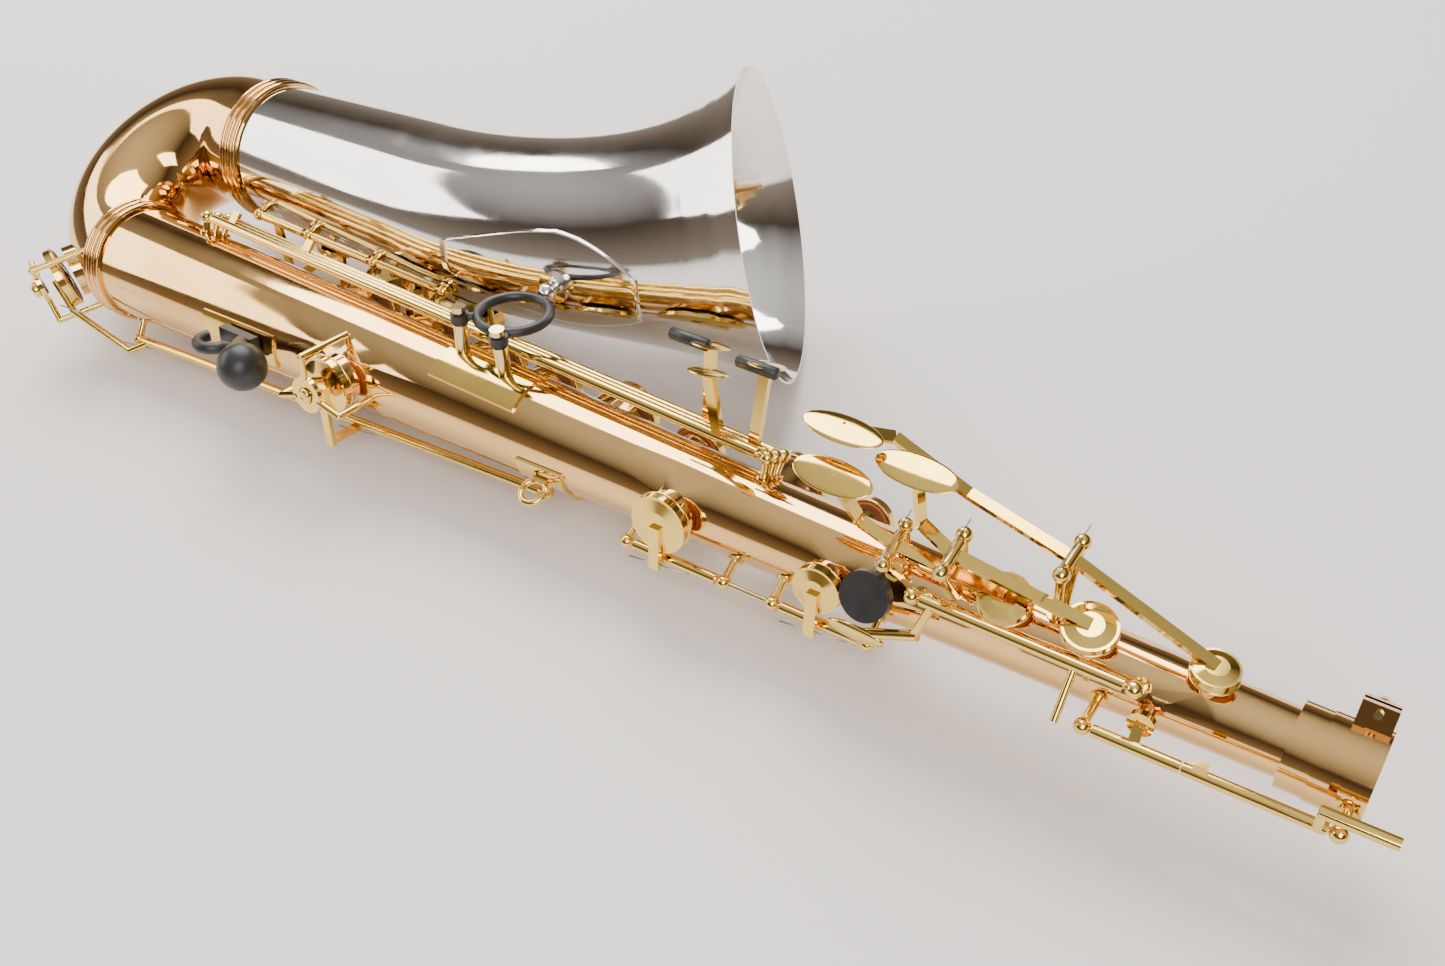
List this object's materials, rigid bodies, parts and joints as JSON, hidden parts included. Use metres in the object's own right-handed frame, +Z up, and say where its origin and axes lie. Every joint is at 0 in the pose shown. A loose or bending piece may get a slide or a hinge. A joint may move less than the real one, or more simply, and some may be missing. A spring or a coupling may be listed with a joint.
{
  "type": "saxophone",
  "caption": "Tenor saxophone body without its neck, lying on its right side, with hinged keys, guards, bell brace, thumb pieces and a neck receiver.",
  "frame": {"origin": "middle of the footprint, on the surface the instrument lies on", "axes": "+X along the body tube from the bow to the neck receiver, +Y towards the bell, +Z up"},
  "size_m": [0.7574, 0.2631, 0.1605],
  "materials": {
    "bronze_lacquer": "polished clear lacquer",
    "key_brass": "polished gold lacquer",
    "silver_plate": "polished",
    "black_plastic": "satin black",
    "steel": "polished",
    "pad_leather": "satin"
  },
  "bodies": {
    "instrument": {"body_tube": "bronze_lacquer", "bow_tube": "bronze_lacquer", "bell": "silver_plate", "bow_body_ring": "bronze_lacquer", "bow_bell_ring": "bronze_lacquer", "neck_receiver": "bronze_lacquer", "receiver_screw": "steel", "brace_ring": "black_plastic", "brace_bolts": "steel", "body_brace_plate": "key_brass", "bell_brace_foot": "silver_plate", "strap_ring": "key_brass", "thumb_hook_base": "key_brass", "thumb_hook": "black_plastic", "thumb_rest": "black_plastic", "low_c_guard": "key_brass", "low_eb_guard": "key_brass", "bell_key_guards": "key_brass", "side_rests": "key_brass", "hinge_rods": "steel", "key_posts": "key_brass"},
    "d_key_body": {"d_key": "key_brass", "d_pad": "pad_leather"},
    "e_key_body": {"e_key": "key_brass", "e_pad": "pad_leather"},
    "f_key_body": {"f_key": "key_brass", "f_pad": "pad_leather"},
    "f_sharp_key_body": {"f_sharp_key": "key_brass", "f_sharp_pad": "pad_leather"},
    "g_key_body": {"g_key": "key_brass", "g_pad": "pad_leather"},
    "a_key_body": {"a_key": "key_brass", "a_pad": "pad_leather"},
    "b_key_body": {"b_key": "key_brass", "b_pad": "pad_leather"},
    "g_sharp_key_body": {"g_sharp_key": "key_brass", "g_sharp_pad": "pad_leather"},
    "side_bb_key_body": {"side_bb_key": "key_brass", "side_bb_pad": "pad_leather"},
    "side_c_key_body": {"side_c_key": "key_brass", "side_c_pad": "pad_leather"},
    "low_c_sharp_key_body": {"low_c_sharp_key": "key_brass"},
    "low_b_key_body": {"low_b_key": "key_brass"},
    "low_bb_key_body": {"low_bb_key": "key_brass"},
    "low_eb_key_body": {"low_eb_key": "key_brass", "low_eb_pad": "pad_leather"},
    "low_c_key_body": {"low_c_key": "key_brass", "low_c_pad": "pad_leather"},
    "palm_d_key_body": {"palm_d_key": "key_brass", "palm_d_pad": "pad_leather"},
    "palm_eb_key_body": {"palm_eb_key": "key_brass", "palm_eb_pad": "pad_leather"},
    "palm_f_key_body": {"palm_f_key": "key_brass", "palm_f_pad": "pad_leather"},
    "low_c_sharp_lever_body": {"low_c_sharp_lever": "key_brass"},
    "low_b_lever_body": {"low_b_lever": "key_brass"},
    "low_bb_lever_body": {"low_bb_lever": "key_brass"},
    "octave_thumb_lever_body": {"octave_thumb_lever": "key_brass"},
    "octave_neck_lever_body": {"octave_neck_lever": "key_brass"},
    "octave_pip_key_body": {"octave_pip_key": "key_brass"}
  },
  "joints": [
    {"name": "d_key_hinge", "type": "hinge", "parent": "instrument", "child": "d_key_body", "pos_m": [-0.15995, -0.05834, 0.01376], "axis": [0.9996, -0.0267, 0.0093], "range_deg": [0, 9], "stiffness_Nm_per_rad": 0.06, "springref_deg": -28.65},
    {"name": "e_key_hinge", "type": "hinge", "parent": "instrument", "child": "e_key_body", "pos_m": [-0.10995, -0.05967, 0.01423], "axis": [0.9996, -0.0267, 0.0093], "range_deg": [0, 9], "stiffness_Nm_per_rad": 0.06, "springref_deg": -28.65},
    {"name": "f_key_hinge", "type": "hinge", "parent": "instrument", "child": "f_key_body", "pos_m": [-0.06495, -0.06087, 0.01465], "axis": [0.9996, -0.0267, 0.0093], "range_deg": [0, 9], "stiffness_Nm_per_rad": 0.06, "springref_deg": -28.65},
    {"name": "f_sharp_key_hinge", "type": "hinge", "parent": "instrument", "child": "f_sharp_key_body", "pos_m": [-0.02695, -0.06189, 0.01501], "axis": [0.9996, -0.0267, 0.0093], "range_deg": [0, 9], "stiffness_Nm_per_rad": 0.06, "springref_deg": -28.65},
    {"name": "g_key_hinge", "type": "hinge", "parent": "instrument", "child": "g_key_body", "pos_m": [0.01902, -0.05956, 0.02033], "axis": [0.9996, -0.0276, 0.006], "range_deg": [0, 10], "stiffness_Nm_per_rad": 0.06, "springref_deg": -28.65},
    {"name": "a_key_hinge", "type": "hinge", "parent": "instrument", "child": "a_key_body", "pos_m": [0.11302, -0.06216, 0.0209], "axis": [0.9996, -0.0276, 0.006], "range_deg": [0, 10], "stiffness_Nm_per_rad": 0.06, "springref_deg": -28.65},
    {"name": "b_key_hinge", "type": "hinge", "parent": "instrument", "child": "b_key_body", "pos_m": [0.15302, -0.06326, 0.02114], "axis": [0.9996, -0.0276, 0.006], "range_deg": [0, 10], "stiffness_Nm_per_rad": 0.06, "springref_deg": -28.65},
    {"name": "g_sharp_key_hinge", "type": "hinge", "parent": "instrument", "child": "g_sharp_key_body", "pos_m": [0.06502, -0.06083, 0.02061], "axis": [0.9996, -0.0276, 0.006], "range_deg": [-8, 0], "stiffness_Nm_per_rad": 0.06, "springref_deg": 28.65},
    {"name": "side_bb_key_hinge", "type": "hinge", "parent": "instrument", "child": "side_bb_key_body", "pos_m": [0.08429, -0.10048, 0.03477], "axis": [0.9996, 0.0274, -0.007], "range_deg": [0, 7], "stiffness_Nm_per_rad": 0.06, "springref_deg": -28.65},
    {"name": "side_c_key_hinge", "type": "hinge", "parent": "instrument", "child": "side_c_key_body", "pos_m": [0.16029, -0.0984, 0.03424], "axis": [0.9996, 0.0274, -0.007], "range_deg": [0, 7], "stiffness_Nm_per_rad": 0.06, "springref_deg": -28.65},
    {"name": "low_c_sharp_key_hinge", "type": "hinge", "parent": "instrument", "child": "low_c_sharp_key_body", "pos_m": [-0.2337, -0.02439, 0.06386], "axis": [0.9991, -0.0032, -0.0418], "range_deg": [-8, 0], "stiffness_Nm_per_rad": 0.06, "springref_deg": 28.65},
    {"name": "low_b_key_hinge", "type": "hinge", "parent": "instrument", "child": "low_b_key_body", "pos_m": [-0.1837, -0.02454, 0.06177], "axis": [0.9991, -0.0032, -0.0418], "range_deg": [0, 8], "stiffness_Nm_per_rad": 0.06, "springref_deg": -28.65},
    {"name": "low_bb_key_hinge", "type": "hinge", "parent": "instrument", "child": "low_bb_key_body", "pos_m": [-0.1337, -0.0247, 0.05967], "axis": [0.9991, -0.0032, -0.0418], "range_deg": [0, 8], "stiffness_Nm_per_rad": 0.06, "springref_deg": -28.65},
    {"name": "low_eb_key_hinge", "type": "hinge", "parent": "instrument", "child": "low_eb_key_body", "pos_m": [-0.11274, -0.0943, 0.02197], "axis": [0.9987, 0.0342, 0.0376], "range_deg": [0, 8], "stiffness_Nm_per_rad": 0.06, "springref_deg": -28.65},
    {"name": "low_c_key_hinge", "type": "hinge", "parent": "instrument", "child": "low_c_key_body", "pos_m": [-0.29184, -0.10044, 0.01522], "axis": [0.9987, 0.0342, 0.0376], "range_deg": [-6, 0], "stiffness_Nm_per_rad": 0.06, "springref_deg": 28.65},
    {"name": "palm_d_key_hinge", "type": "hinge", "parent": "instrument", "child": "palm_d_key_body", "pos_m": [0.18658, -0.08009, 0.07746], "axis": [0, 0.9627, 0.2705], "range_deg": [-4, 0], "stiffness_Nm_per_rad": 0.06, "springref_deg": 28.65},
    {"name": "palm_eb_key_hinge", "type": "hinge", "parent": "instrument", "child": "palm_eb_key_body", "pos_m": [0.21081, -0.07956, 0.08515], "axis": [0, 0.9857, 0.1683], "range_deg": [-4, 0], "stiffness_Nm_per_rad": 0.06, "springref_deg": 28.65},
    {"name": "palm_f_key_hinge", "type": "hinge", "parent": "instrument", "child": "palm_f_key_body", "pos_m": [0.24881, -0.06066, 0.08465], "axis": [0, 0.9997, -0.0228], "range_deg": [-4, 0], "stiffness_Nm_per_rad": 0.06, "springref_deg": 28.65},
    {"name": "low_c_sharp_lever_hinge", "type": "hinge", "parent": "instrument", "child": "low_c_sharp_lever_body", "pos_m": [-0.29661, -0.05266, 0.08217], "axis": [0.9996, -0.0175, -0.0222], "range_deg": [0, 8], "stiffness_Nm_per_rad": 0.06, "springref_deg": -28.65},
    {"name": "low_b_lever_hinge", "type": "hinge", "parent": "instrument", "child": "low_b_lever_body", "pos_m": [-0.29661, -0.04717, 0.07783], "axis": [0.9996, -0.0175, -0.0222], "range_deg": [0, 8], "stiffness_Nm_per_rad": 0.06, "springref_deg": -28.65},
    {"name": "low_bb_lever_hinge", "type": "hinge", "parent": "instrument", "child": "low_bb_lever_body", "pos_m": [-0.29661, -0.04167, 0.07349], "axis": [0.9996, -0.0175, -0.0222], "range_deg": [0, 8], "stiffness_Nm_per_rad": 0.06, "springref_deg": -28.65},
    {"name": "octave_thumb_lever_hinge", "type": "hinge", "parent": "instrument", "child": "octave_thumb_lever_body", "pos_m": [-0.29651, -0.10162, 0.07742], "axis": [0.9996, 0.0199, -0.0201], "range_deg": [0, 6], "stiffness_Nm_per_rad": 0.06, "springref_deg": -28.65},
    {"name": "octave_neck_lever_hinge", "type": "hinge", "parent": "instrument", "child": "octave_neck_lever_body", "pos_m": [-0.29644, -0.11681, 0.04803], "axis": [0.9996, 0.0282, -0.0006], "range_deg": [0, 8], "stiffness_Nm_per_rad": 0.06, "springref_deg": -28.65},
    {"name": "octave_pip_key_hinge", "type": "hinge", "parent": "instrument", "child": "octave_pip_key_body", "pos_m": [-0.29644, -0.11681, 0.04803], "axis": [0.9996, 0.0282, -0.0006], "range_deg": [0, 8], "stiffness_Nm_per_rad": 0.06, "springref_deg": -28.65}
  ],
  "couplings": [
    {"joint": "octave_neck_lever_hinge", "follows": "octave_thumb_lever_hinge", "ratio": 1.33},
    {"joint": "low_b_key_hinge", "follows": "low_b_lever_hinge", "ratio": 1},
    {"joint": "low_bb_key_hinge", "follows": "low_bb_lever_hinge", "ratio": 1},
    {"joint": "low_c_sharp_key_hinge", "follows": "low_c_sharp_lever_hinge", "ratio": -1},
    {"joint": "f_sharp_key_hinge", "follows": "f_key_hinge", "ratio": 1}
  ]
}
